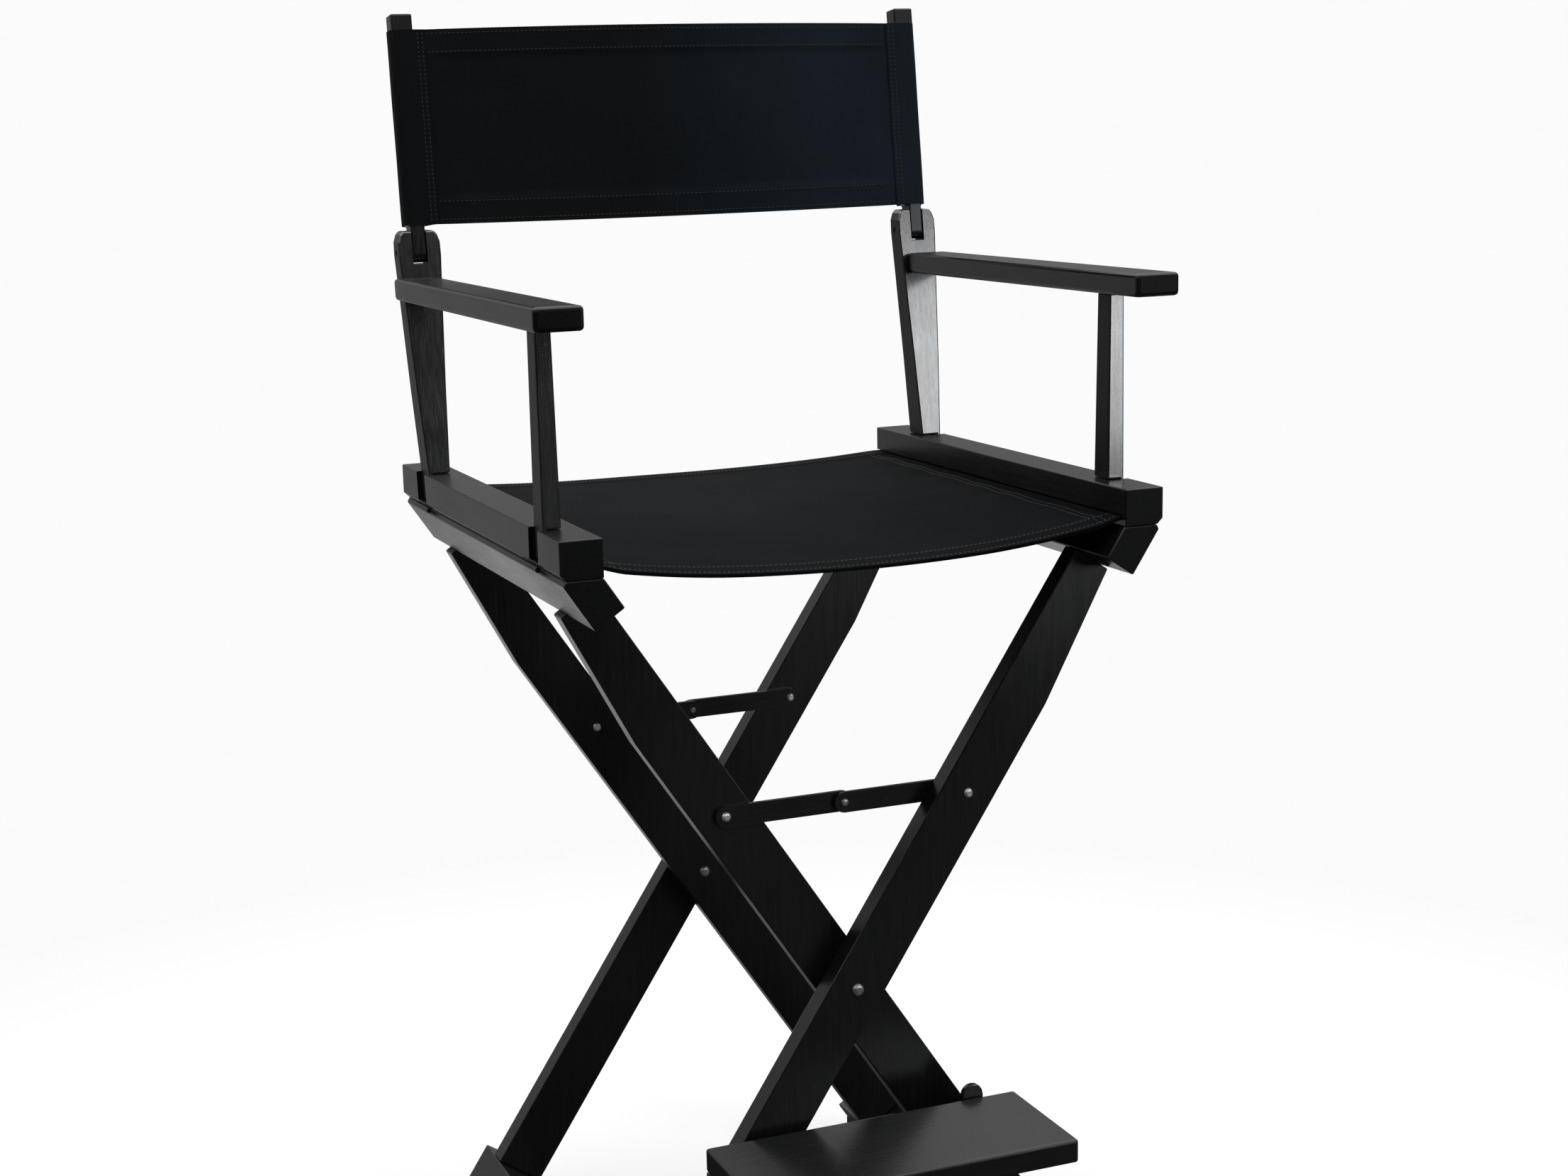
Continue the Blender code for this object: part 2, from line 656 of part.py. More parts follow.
steps = [
    (front - 0.0040, 0.0030), (front - 0.0032, 0.0048), (front - 0.0012, 0.0060),
    (front - 0.0003, 0.0062), (front - 0.0002, 0.0040), (FOOT_Y1 + 0.0003, 0.0040),
    (FOOT_Y1 + 0.0004, 0.0095), (-0.0003, 0.0095), (-0.0002, 0.0040), (0.0140, 0.0040),
]
place("footrest_bolt", lathe(steps), iron("footrest_bolt"), "frame_b", spot)
peg_x = C * PEG_AT[0] - S * PEG_AT[1]
peg_z = S * PEG_AT[0] + C * PEG_AT[1]
peg = lathe([(-0.0230, 0.0040), (-0.0220, 0.0050), (LEG_Y["a_front"] + 0.0130, 0.0050)], 24)
place("footrest_peg", peg, iron("footrest_peg"), "frame_a", (peg_x, 0.0, CROSS_Z + peg_z))

# ---- origin: under the middle of the whole chair, on the floor ------------------------------------------
for holder in HOLDERS.values():
    holder.location.y -= (FOOT_Y0 + RAIL_Y1) / 2
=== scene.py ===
"""Looks of the tall folding director chair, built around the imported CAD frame."""
import math

import bmesh
import bpy
from mathutils import Matrix, Vector


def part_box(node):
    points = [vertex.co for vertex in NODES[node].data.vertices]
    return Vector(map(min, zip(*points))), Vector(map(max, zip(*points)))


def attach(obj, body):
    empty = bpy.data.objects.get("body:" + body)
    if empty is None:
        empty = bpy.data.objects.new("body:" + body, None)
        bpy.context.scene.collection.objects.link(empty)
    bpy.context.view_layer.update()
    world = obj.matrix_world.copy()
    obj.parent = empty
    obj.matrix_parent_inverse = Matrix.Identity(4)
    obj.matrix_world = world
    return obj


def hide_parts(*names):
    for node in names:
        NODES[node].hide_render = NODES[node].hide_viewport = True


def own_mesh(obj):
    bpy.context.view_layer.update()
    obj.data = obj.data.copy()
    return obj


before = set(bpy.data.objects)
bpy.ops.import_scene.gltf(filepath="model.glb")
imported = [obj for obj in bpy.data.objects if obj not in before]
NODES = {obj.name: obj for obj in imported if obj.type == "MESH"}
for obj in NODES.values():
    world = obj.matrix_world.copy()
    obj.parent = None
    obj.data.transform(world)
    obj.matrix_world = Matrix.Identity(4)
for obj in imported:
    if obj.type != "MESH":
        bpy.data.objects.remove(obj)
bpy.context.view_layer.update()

# ---------------------------------------------------------------- places from the frame
rail_lo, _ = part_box("seat_rail_right")
RAIL_IN = rail_lo.x
dowel_lo, dowel_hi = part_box("seat_dowel_right")
SLOT_Z = (dowel_lo.z + dowel_hi.z) / 2
DOWEL_X = (dowel_lo.x + dowel_hi.x) / 2
seat_lo, seat_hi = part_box("seat_cloth_right")
SEAT_Y0, SEAT_Y1 = seat_lo.y, seat_hi.y
SAG_FRONT, SAG_REAR = 0.0190, 0.0065

pin_lo, pin_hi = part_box("back_pin_right")
PIVOT = (pin_lo + pin_hi) / 2
stick_lo, stick_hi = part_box("back_stick_right")
STICK_X = (stick_lo.x + stick_hi.x) / 2
STICK_HALF = (stick_hi.x - stick_lo.x) / 2
LEAN = math.radians(7.07)
cloth_lo, cloth_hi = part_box("back_cloth_right")
BACK_V0 = (cloth_lo.z - PIVOT.z) / math.cos(LEAN) + 0.0016
BACK_V1 = (cloth_hi.z - PIVOT.z) / math.cos(LEAN) - 0.0013
THREAD = 0.0008


# ---------------------------------------------------------------- node helpers
class Nodes:
    """Small wrapper to build a Principled material from noise, waves and ramps."""

    def __init__(self, name):
        self.mat = bpy.data.materials.new(name)
        self.mat.use_nodes = True
        self.tree = self.mat.node_tree
        self.bsdf = self.tree.nodes["Principled BSDF"]

    def add(self, kind):
        return self.tree.nodes.new(kind)

    def link(self, out, to):
        self.tree.links.new(out, to)
        return out.node

    def coords(self, scale, rotation=(0, 0, 0), offset=(0, 0, 0)):
        tex = self.add("ShaderNodeTexCoord")
        mapping = self.add("ShaderNodeMapping")
        mapping.inputs["Scale"].default_value = scale
        mapping.inputs["Rotation"].default_value = rotation
        mapping.inputs["Location"].default_value = offset
        self.link(tex.outputs["Object"], mapping.inputs["Vector"])
        return mapping.outputs["Vector"]

    def noise(self, vector, scale, detail=4.0, rough=0.5):
        node = self.add("ShaderNodeTexNoise")
        node.inputs["Scale"].default_value = scale
        node.inputs["Detail"].default_value = detail
        node.inputs["Roughness"].default_value = rough
        self.link(vector, node.inputs["Vector"])
        return node.outputs["Fac"]

    def spread(self, value, low, high, to_low=0.0, to_high=1.0):
        node = self.add("ShaderNodeMapRange")
        node.inputs["From Min"].default_value = low
        node.inputs["From Max"].default_value = high
        node.inputs["To Min"].default_value = to_low
        node.inputs["To Max"].default_value = to_high
        self.link(value, node.inputs["Value"])
        return node.outputs["Result"]

    def math(self, kind, a, b):
        node = self.add("ShaderNodeMath")
        node.operation = kind
        for slot, value in zip(node.inputs, (a, b)):
            if isinstance(value, (int, float)):
                slot.default_value = value
            else:
                self.link(value, slot)
        return node.outputs["Value"]

    def mix(self, fac, a, b):
        node = self.add("ShaderNodeMix")
        node.data_type = "RGBA"
        if isinstance(fac, (int, float)):
            node.inputs[0].default_value = fac
        else:
            self.link(fac, node.inputs[0])
        for slot, value in zip((node.inputs[6], node.inputs[7]), (a, b)):
            if isinstance(value, tuple):
                slot.default_value = (*value, 1.0)
            else:
                self.link(value, slot)
        return node.outputs[2]

    def tint(self, fac, base, colour):
        node = self.add("ShaderNodeMix")
        node.data_type = "RGBA"
        node.blend_type = "MULTIPLY"
        self.link(fac, node.inputs[0])
        self.link(base, node.inputs[6])
        node.inputs[7].default_value = (*colour, 1.0)
        return node.outputs[2]

    def bump(self, height, distance, strength=1.0, under=None):
        node = self.add("ShaderNodeBump")
        node.inputs["Distance"].default_value = distance
        node.inputs["Strength"].default_value = strength
        self.link(height, node.inputs["Height"])
        if under is not None:
            self.link(under, node.inputs["Normal"])
        return node.outputs["Normal"]

    def edges(self, radius, low, high):
        """One along sharp edges, zero on flat faces."""
        bevel = self.add("ShaderNodeBevel")
        bevel.samples = 4
        bevel.inputs["Radius"].default_value = radius
        geo = self.add("ShaderNodeNewGeometry")
        dot = self.add("ShaderNodeVectorMath")
        dot.operation = "DOT_PRODUCT"
        self.link(bevel.outputs["Normal"], dot.inputs[0])
        self.link(geo.outputs["Normal"], dot.inputs[1])
        return self.spread(dot.outputs["Value"], high, low)


PAINT_DEEP, PAINT_CLOUD = (0.0026, 0.0028, 0.0029), (0.0044, 0.0048, 0.0050)
PAINT_FIBRE, PAINT_SCUFF = (0.0095, 0.0098, 0.0098), (0.022, 0.021, 0.020)
PAINT_WORN_EDGE = (0.055, 0.050, 0.045)
PAINT_ROUGH = (0.20, 0.33)
PAINT_SHINE, UNPOLISHED_SHINE = 0.45, 0.08
EDGE_WEAR_RADIUS = 0.0016
PAINT_IOR, POST_IOR = 1.5, 2.08       # tuned: the posts mirror more than the other wood


def painted_wood(name, grain, seed, gloss, matte):
    """Near-black satin paint on hardwood; faces square to the matte axis are duller, tuned."""
    n = Nodes(name)
    stretch = [34.0, 34.0, 34.0]
    stretch["xyz".index(grain)] = 2.2
    along = n.coords(tuple(stretch), offset=(seed * 1.7, seed * 0.9, seed * 2.3))
    plain = n.coords((1, 1, 1), offset=(seed, seed * 0.4, seed * 0.7))
    fibres = n.noise(along, 9.0, 6.0, 0.62)
    pores = n.noise(along, 42.0, 3.0, 0.6)
    clouds = n.noise(plain, 7.0, 3.0, 0.5)
    peel = n.noise(plain, 420.0, 2.0, 0.4)
    scuffs = n.spread(n.noise(plain, 95.0, 5.0, 0.7), 0.66, 0.80)
    edge = n.math("MULTIPLY", n.edges(EDGE_WEAR_RADIUS, 0.72, 0.985), n.spread(clouds, 0.42, 0.66))
    base = n.mix(n.spread(clouds, 0.3, 0.7), PAINT_DEEP, PAINT_CLOUD)
    base = n.mix(n.math("MULTIPLY", n.spread(fibres, 0.45, 0.75), 0.45), base, PAINT_FIBRE)
    base = n.mix(n.math("MULTIPLY", scuffs, 0.35), base, PAINT_SCUFF)
    base = n.mix(n.math("MULTIPLY", edge, 0.50), base, PAINT_WORN_EDGE)
    n.link(base, n.bsdf.inputs["Base Color"])
    rough = n.spread(n.math("ADD", n.math("MULTIPLY", clouds, 0.6), n.math("MULTIPLY", fibres, 0.4)),
                     0.3, 0.7, PAINT_ROUGH[0] - gloss, PAINT_ROUGH[1] - gloss)
    rough = n.math("ADD", rough, n.math("MULTIPLY", scuffs, 0.12))
    facing = n.add("ShaderNodeSeparateXYZ")
    n.link(n.add("ShaderNodeTexCoord").outputs["Normal"], facing.inputs[0])
    unpolished = n.spread(n.math("ABSOLUTE", facing.outputs["xyz".index(matte)], 0), 0.85, 0.97)
    rough = n.math("ADD", rough, n.math("MULTIPLY", unpolished, 0.18))
    n.link(rough, n.bsdf.inputs["Roughness"])
    normal = n.bump(pores, 0.00012, 0.35)
    normal = n.bump(fibres, 0.00030, 0.30, normal)
    normal = n.bump(peel, 0.00005, 0.20, normal)
    n.link(normal, n.bsdf.inputs["Normal"])
    n.bsdf.inputs["IOR"].default_value = POST_IOR if gloss else PAINT_IOR
    shine = n.spread(unpolished, 0.0, 1.0, PAINT_SHINE + gloss, UNPOLISHED_SHINE)
    n.link(shine, n.bsdf.inputs["Specular IOR Level"])
    return n.mat


def metal(name, tone, seed, rough):
    """Turned steel: fine circular marks, handling haze and darker spots."""
    n = Nodes(name)
    plain = n.coords((1, 1, 1), offset=(seed, seed, 0))
    marks = n.noise(n.coords((1, 30, 1), offset=(seed, 0, 0)), 260.0, 3.0, 0.6)
    haze = n.noise(plain, 160.0, 4.0, 0.6)
    dark = tuple(c * 0.55 for c in tone)
    n.link(n.mix(n.spread(haze, 0.42, 0.72), tone, dark), n.bsdf.inputs["Base Color"])
    n.link(n.spread(marks, 0.3, 0.7, rough - 0.06, rough + 0.12), n.bsdf.inputs["Roughness"])
    n.link(n.bump(marks, 0.00004, 0.5), n.bsdf.inputs["Normal"])
    n.bsdf.inputs["Metallic"].default_value = 1.0
    return n.mat


def canvas(name, across, up, seed, tone, right_painted_light):
    """Plain-weave cotton duck; 'across' and 'up' are the two thread axes in world XYZ.

    The last argument multiplies the colour toward +X as painted light: darker on the seat as painted
    shade, lighter and bluer on the back as a painted sheen; it is tuned, not a known dye.
    """
    def shade(level):
        return tuple(level * t for t in tone)

    n = Nodes(name)
    tex = n.add("ShaderNodeTexCoord")
    split = n.add("ShaderNodeSeparateXYZ")
    n.link(tex.outputs["Object"], split.inputs[0])
    turns = 2 * math.pi / (2 * THREAD)
    a = n.math("MULTIPLY", split.outputs["XYZ".index(across)], turns)
    b = n.math("MULTIPLY", split.outputs["XYZ".index(up)], turns)
    sa = n.math("SINE", a, 0)
    sb = n.math("SINE", b, 0)
    over = n.math("MULTIPLY", sa, sb)
    ribs_a = n.math("ABSOLUTE", sa, 0)
    ribs_b = n.math("ABSOLUTE", sb, 0)
    warp = n.math("MULTIPLY", n.math("GREATER_THAN", over, 0.0), ribs_a)
    weft = n.math("MULTIPLY", n.math("LESS_THAN", over, 0.0), ribs_b)
    weave = n.math("ADD", warp, weft)
    plain = n.coords((1, 1, 1), offset=(seed, seed * 0.6, seed * 0.3))
    clouds = n.noise(plain, 5.0, 4.0, 0.55)
    slubs = n.noise(n.coords((260, 8, 8) if across == "X" else (8, 260, 8)), 2.0, 3.0, 0.6)
    lint = n.noise(plain, 700.0, 3.0, 0.8)
    rubbed = n.spread(n.noise(plain, 11.0, 5.0, 0.6), 0.52, 0.74)
    base = n.mix(n.spread(clouds, 0.3, 0.7), shade(0.65), shade(0.95))
    base = n.mix(n.math("MULTIPLY", weave, 0.35), base, shade(1.7))
    base = n.mix(n.math("MULTIPLY", n.spread(slubs, 0.55, 0.8), 0.25), base, shade(2.1))
    base = n.mix(n.math("MULTIPLY", rubbed, 0.18), base, shade(2.5))
    base = n.mix(n.math("MULTIPLY", n.spread(lint, 0.72, 0.8), 0.22), base, (0.05, 0.05, 0.05))
    # painted light: colour scaled toward +X, painted shade on the seat and a painted sheen on the back
    base = n.tint(n.spread(split.outputs["X"], -0.03, 0.16), base, right_painted_light)
    n.link(base, n.bsdf.inputs["Base Color"])
    n.link(n.spread(clouds, 0.3, 0.7, 0.74, 0.88), n.bsdf.inputs["Roughness"])
    normal = n.bump(weave, 0.00022, 0.6)
    normal = n.bump(slubs, 0.00012, 0.4, normal)
    n.link(normal, n.bsdf.inputs["Normal"])
    n.bsdf.inputs["Specular IOR Level"].default_value = 0.06
    n.bsdf.inputs["Sheen Weight"].default_value = 0.011
    n.bsdf.inputs["Sheen Roughness"].default_value = 0.45
    n.bsdf.inputs["Sheen Tint"].default_value = (0.75, 0.86, 1.0, 1.0)
    return n.mat


def thread(name):
    n = Nodes(name)
    plain = n.coords((1, 1, 1))
    twist = n.noise(plain, 900.0, 2.0, 0.5)
    n.link(n.mix(twist, (0.006, 0.0065, 0.007), (0.017, 0.0175, 0.018)), n.bsdf.inputs["Base Color"])
    n.link(n.spread(twist, 0.3, 0.7, 0.5, 0.7), n.bsdf.inputs["Roughness"])
    n.link(n.bump(twist, 0.0001, 0.6), n.bsdf.inputs["Normal"])
    return n.mat


# ---------------------------------------------------------------- finishes on the CAD pieces
def grain_of(node):
    low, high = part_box(node)
    size = high - low
    return "xyz"[max(range(3), key=lambda i: size[i])]


def dress(name, mat):
    obj = NODES[name]
    obj.data.materials.clear()
    obj.data.materials.append(mat)


BRIGHT_STEEL, DULL_STEEL, BLACK_IRON = (0.80, 0.79, 0.76), (0.36, 0.36, 0.35), (0.05, 0.05, 0.05)
METAL_STEP, WOOD_STEP = 0.37, 0.61    # shift of the noise from one piece to the next
POST_GLOSS = 0.05

for i, name in enumerate(sorted(NODES)):
    if "cloth" in name:
        continue
    if name.startswith("brace_screw"):
        dress(name, metal("bright_" + name, BRIGHT_STEEL, i * METAL_STEP, 0.36))
    elif name.startswith(("cross_bolt", "brace_rivet", "footrest_bolt")):
        dress(name, metal("steel_" + name, DULL_STEEL, i * METAL_STEP, 0.38))
    elif name.startswith(("hinge", "cross_spacer", "back_pin", "footrest_peg")):
        dress(name, metal("iron_" + name, BLACK_IRON, i * METAL_STEP, 0.45))
    else:
        grain = grain_of(name)
        gloss, matte = (POST_GLOSS, "x") if "post" in name else (0.0, grain)
        dress(name, painted_wood("paint_" + name, grain, i * WOOD_STEP, gloss, matte))


# ---------------------------------------------------------------- cloth meshes
def ripple(a, b, seed):
    """Smooth, fixed, low bumps; a and b are distances along the cloth in metres."""
    total = 0.0
    for k in range(1, 5):
        total += math.sin(a * 23.0 * k + seed * k) * math.cos(b * 17.0 * k + 1.3 * seed * k) / k
    return total / 2.0


def sheet(name, place, columns, rows, thick, mats):
    """A closed cloth panel: place(u, v) gives its middle surface, thick(u, v) its thickness."""
    bm = bmesh.new()
    step = 1e-4

    def frame_at(u, v):
        p = place(u, v)
        du = place(min(1, u + step), v) - place(max(0, u - step), v)
        dv = place(u, min(1, v + step)) - place(u, max(0, v - step))
        return p, du.cross(dv).normalized()

    layers = []
    for sign in (1, -1):
        grid = []
        for i in range(columns + 1):
            line = []
            for j in range(rows + 1):
                u = i / columns
                v = j / rows
                p, normal = frame_at(u, v)
                line.append(bm.verts.new(p + normal * sign * thick(u, v) / 2))
            grid.append(line)
        layers.append(grid)
    for k, grid in enumerate(layers):
        for i in range(columns):
            for j in range(rows):
                quad = (grid[i][j], grid[i + 1][j], grid[i + 1][j + 1], grid[i][j + 1])
                bm.faces.new(quad if k == 0 else tuple(reversed(quad)))
    a, b = layers
    for i in range(columns):
        for j in (0, rows):
            bm.faces.new((a[i][j], a[i + 1][j], b[i + 1][j], b[i][j]))
    for j in range(rows):
        for i in (0, columns):
            bm.faces.new((a[i][j], a[i][j + 1], b[i][j + 1], b[i][j]))
    return finish_mesh(name, bm, mats)


def finish_mesh(name, bm, mats, smooth=True):
    bmesh.ops.recalc_face_normals(bm, faces=bm.faces)
    for edge in bm.edges:
        edge.smooth = edge.calc_face_angle(0.0) < math.radians(50)
    mesh = bpy.data.meshes.new(name)
    bm.to_mesh(mesh)
    bm.free()
    obj = bpy.data.objects.new(name, mesh)
    bpy.context.collection.objects.link(obj)
    for mat in mats:
        mesh.materials.append(mat)
    for poly in mesh.polygons:
        poly.use_smooth = smooth
    return obj


def stitch_row(bm, points, normals, length=0.0028, radius=0.00042):
    """Short thread stitches laid on the cloth between evenly spaced points."""
    for k in range(len(points) - 1):
        a, b = points[k], points[k + 1]
        up = normals[k]
        mid = (a + b) / 2
        along = (b - a).normalized() * length / 2
        side = along.cross(up).normalized()
        rings = []
        for t, r, rise in ((-1.0, 0.35, -0.3), (-0.55, 0.95, 0.35), (0.55, 0.95, 0.35), (1.0, 0.35, -0.3)):
            ring = []
            for m in range(6):
                ang = m * math.pi / 3
                off = side * math.cos(ang) + up * math.sin(ang)
                ring.append(bm.verts.new(mid + along * t + up * radius * rise + off * radius * r))
            rings.append(ring)
        for one, two in zip(rings, rings[1:]):
            for m in range(6):
                q = (m + 1) % 6
                bm.faces.new((one[m], one[q], two[q], two[m]))
        bm.faces.new(rings[0])
        bm.faces.new(list(reversed(rings[-1])))


def stitches(name, place, thick, runs, mat, face=1):
    """Thread runs along lines of constant u or v; runs are (axis, value, from, to, length)."""
    bm = bmesh.new()
    step = 1e-4
    for axis, value, start, stop, metres in runs:
        count = max(4, int(metres / 0.0042))
        points = []
        normals = []
        for k in range(count + 1):
            t = start + (stop - start) * k / count
            u, v = (value, t) if axis == "u" else (t, value)
            p = place(u, v)
            du = place(min(1, u + step), v) - place(max(0, u - step), v)
            dv = place(u, min(1, v + step)) - place(u, max(0, v - step))
            normal = du.cross(dv).normalized() * face
            points.append(p + normal * (thick(u, v) / 2 - 0.0001))
            normals.append(normal)
        stitch_row(bm, points, normals)
    return finish_mesh(name, bm, [mat])


# ---------------------------------------------------------------- the seat
SEAT_HALF = RAIL_IN + 0.004
SEAT_T = 0.0015
HEM = 0.020
SEAT_LEN = SEAT_Y1 - SEAT_Y0


def seat_height(x, y):
    """Sagging seat: deeper and drooping at its front edge, tauter at the rear, with slack ripples."""
    across = min(1.0, abs(x) / RAIL_IN)
    depth = 1 - across ** 2.3
    t = (y - SEAT_Y0) / SEAT_LEN
    sag = SAG_REAR + (SAG_FRONT - SAG_REAR) * (1 - t) ** 1.5
    droop = 0.0022 * math.exp(-((y - SEAT_Y0) / 0.010) ** 2) * min(1.0, depth * 6)
    waves = 0.0011 * depth * ripple(x * 0.5, y, 2.1)
    pull = 0.0009 * math.sin(y * 95.0 + 0.7 * math.sin(y * 31)) * across ** 6 * (1 - across ** 20)
    return SLOT_Z - sag * depth - droop + waves + pull


def seat_thick(u, v):
    y = v * SEAT_LEN
    return SEAT_T + (0.0014 if y < HEM or y > SEAT_LEN - HEM else 0.0)


def seat_rows():
    """Rows gathered at the hem edges so the fold shows as a crisp step."""
    hem = HEM / SEAT_LEN
    lines = [0.0, 0.004, hem - 0.004, hem - 0.0005, hem + 0.0025]
    lines += [hem + 0.0025 + (1 - 2 * hem - 0.005) * k / 48 for k in range(1, 48)]
    lines += [1 - hem - 0.0025, 1 - hem + 0.0005, 1 - hem + 0.004, 0.996, 1.0]
    return lines


def remap(lines, v):
    pos = v * (len(lines) - 1)
    k = min(int(pos), len(lines) - 2)
    return lines[k] + (lines[k + 1] - lines[k]) * (pos - k)


# painted light: seat and back are one cloth, but the seat's tone is darker as painted shade; toward +X the
# seat darkens further as painted shade and the back lightens and turns bluer as a painted sheen
SEAT_SHADED_TONE, SEAT_RIGHT_PAINTED_SHADE = (0.0018, 0.0027, 0.0033), (0.35, 0.35, 0.42)
BACK_TONE, BACK_RIGHT_PAINTED_SHEEN = (0.0056, 0.0068, 0.0076), (1.8, 2.4, 2.9)
CANVAS_SEAT = canvas("canvas_seat", "X", "Y", 1.3, SEAT_SHADED_TONE, SEAT_RIGHT_PAINTED_SHADE)
CANVAS_BACK = canvas("canvas_back", "X", "Z", 4.1, BACK_TONE, BACK_RIGHT_PAINTED_SHEEN)
THREAD_MAT = thread("thread")
ROWS = seat_rows()

for word, side in (("left", -1), ("right", 1)):
    def seat_place(u, v, side=side):
        x = side * (u * SEAT_HALF)
        y = SEAT_Y0 + v * SEAT_LEN
        return Vector((x, y, seat_height(x, y)))

    def seat_grid(u, v, side=side):
        return seat_place(u, remap(ROWS, v), side)

    def seat_t(u, v):
        return seat_thick(u, remap(ROWS, v))

    name = "seat_canvas_" + word
    panel = sheet(name, seat_grid, 40, len(ROWS) - 1, seat_t, [CANVAS_SEAT])
    hem = HEM / SEAT_LEN
    stop = (RAIL_IN - 0.002) / SEAT_HALF
    run = RAIL_IN
    runs = [
        ("v", hem - 0.006, 0.003, stop, run), ("v", 0.010, 0.003, stop, run),
        ("v", 1 - hem + 0.006, 0.003, stop, run), ("v", 0.990, 0.003, stop, run),
        ("u", (RAIL_IN - 0.012) / SEAT_HALF, 0.01, 0.99, SEAT_LEN),
        ("u", (RAIL_IN - 0.018) / SEAT_HALF, 0.01, 0.99, SEAT_LEN),
    ]
    up = 1 if side > 0 else -1
    sewn = stitches("seat_stitching_" + word, seat_place, seat_thick, runs, THREAD_MAT, up)
    for obj in (panel, sewn):
        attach(obj, "side_" + word)
        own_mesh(obj)
    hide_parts("seat_cloth_" + word)

    # sleeve of the seat around its dowel, inside the rail groove
    def loop_place(u, v, side=side):
        a = math.pi - math.radians(12) - u * math.radians(325)
        r = 0.0046
        y = SEAT_Y0 + v * SEAT_LEN
        return Vector((side * (DOWEL_X + r * math.cos(a)), y, SLOT_Z + r * math.sin(a)))

    loop = sheet("seat_sleeve_" + word, loop_place, 22, 24, lambda u, v: 0.0011, [CANVAS_SEAT])
    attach(loop, "side_" + word)

# ---------------------------------------------------------------- the back
BACK_T = 0.0012
BACK_HEM = 0.023
WRAP = STICK_HALF + 0.0013    # half width of the sleeve around the stick
WRAP_F = 0.0103               # how far its front and rear layers stand from the stick's axis
PANEL_F = 0.0085              # the panel lies between the two layers where they are sewn together
TAIL = 0.009                  # how far the sewn layers run inboard of the stick
PANEL_OUT = STICK_X - WRAP - 0.0030
BACK_LEN = BACK_V1 - BACK_V0
UP = Vector((0.0, math.sin(LEAN), math.cos(LEAN)))
OUT = Vector((0.0, -math.cos(LEAN), math.sin(LEAN)))


def back_point(x, forward, w):
    """World point from side position, distance in front of the sticks and height along them."""
    return Vector((x, PIVOT.y, PIVOT.z)) + UP * w + OUT * forward


def back_bow(x, w):
    """Taut back: bows slightly to the rear in the middle, softer at its free edges."""
    across = min(1.0, abs(x) / PANEL_OUT)
    t = (w - BACK_V0) / BACK_LEN
    bow = 0.0045 * (1 - across * across) * (0.75 + 0.25 * math.cos(2 * math.pi * t))
    waves = 0.0007 * (1 - across ** 4) * ripple(x * 0.6, w, 5.2)
    pulls = 0.0006 * math.sin(w * 120.0 + 0.8 * math.sin(w * 40)) * across ** 8
    return PANEL_F - bow + waves + pulls * (1 - across ** 40)


def edge_lift(x, t):
    """The free edges bow out a little between the sticks, most along the top."""
    across = min(1.0, abs(x) / PANEL_OUT)
    return (1 - across * across) * (0.0030 * t * t - 0.0012 * (1 - t) ** 2)


def back_thick(u, v):
    w = v * BACK_LEN
    return BACK_T + (0.0012 if w < BACK_HEM or w > BACK_LEN - BACK_HEM else 0.0) * min(1, (1 - u) * 12)


def back_rows():
    hem = BACK_HEM / BACK_LEN
    lines = [0.0, 0.010, hem - 0.010, hem - 0.001, hem + 0.006]
    lines += [hem + 0.006 + (1 - 2 * hem - 0.012) * k / 22 for k in range(1, 22)]
    lines += [1 - hem - 0.006, 1 - hem + 0.001, 1 - hem + 0.010, 0.990, 1.0]
    return lines


def rounded(points, passes=3):
    """Cut the corners of an open path a few times; its two ends stay."""
    for _ in range(passes):
        new = [points[0]]
        for (x0, f0), (x1, f1) in zip(points, points[1:]):
            new.append((0.8 * x0 + 0.2 * x1, 0.8 * f0 + 0.2 * f1))
            new.append((0.2 * x0 + 0.8 * x1, 0.2 * f0 + 0.8 * f1))
        points = new + [points[-1]]
    return points


# sleeve section: front layer, around the stick's outer side, and back to the rear of the panel
SLEEVE = rounded([
    (-WRAP - TAIL, 0.0097), (-WRAP, WRAP_F), (WRAP, WRAP_F), (WRAP, -WRAP_F), (-WRAP, -WRAP_F),
    (-WRAP - 0.0020, -0.0020), (-WRAP - 0.0055, 0.0060), (-WRAP - TAIL, 0.0073),
])
SLEEVE_AT = [0.0]
for (x0, f0), (x1, f1) in zip(SLEEVE, SLEEVE[1:]):
    SLEEVE_AT.append(SLEEVE_AT[-1] + math.hypot(x1 - x0, f1 - f0))


def sleeve_at(u):
    """Point of the sleeve section at share u of its length."""
    goal = min(max(u, 0.0), 1.0) * SLEEVE_AT[-1]
    k = 0
    while k < len(SLEEVE) - 2 and SLEEVE_AT[k + 1] < goal:
        k += 1
    t = (goal - SLEEVE_AT[k]) / (SLEEVE_AT[k + 1] - SLEEVE_AT[k])
    (x0, f0), (x1, f1) = SLEEVE[k], SLEEVE[k + 1]
    return x0 + (x1 - x0) * t, f0 + (f1 - f0) * t


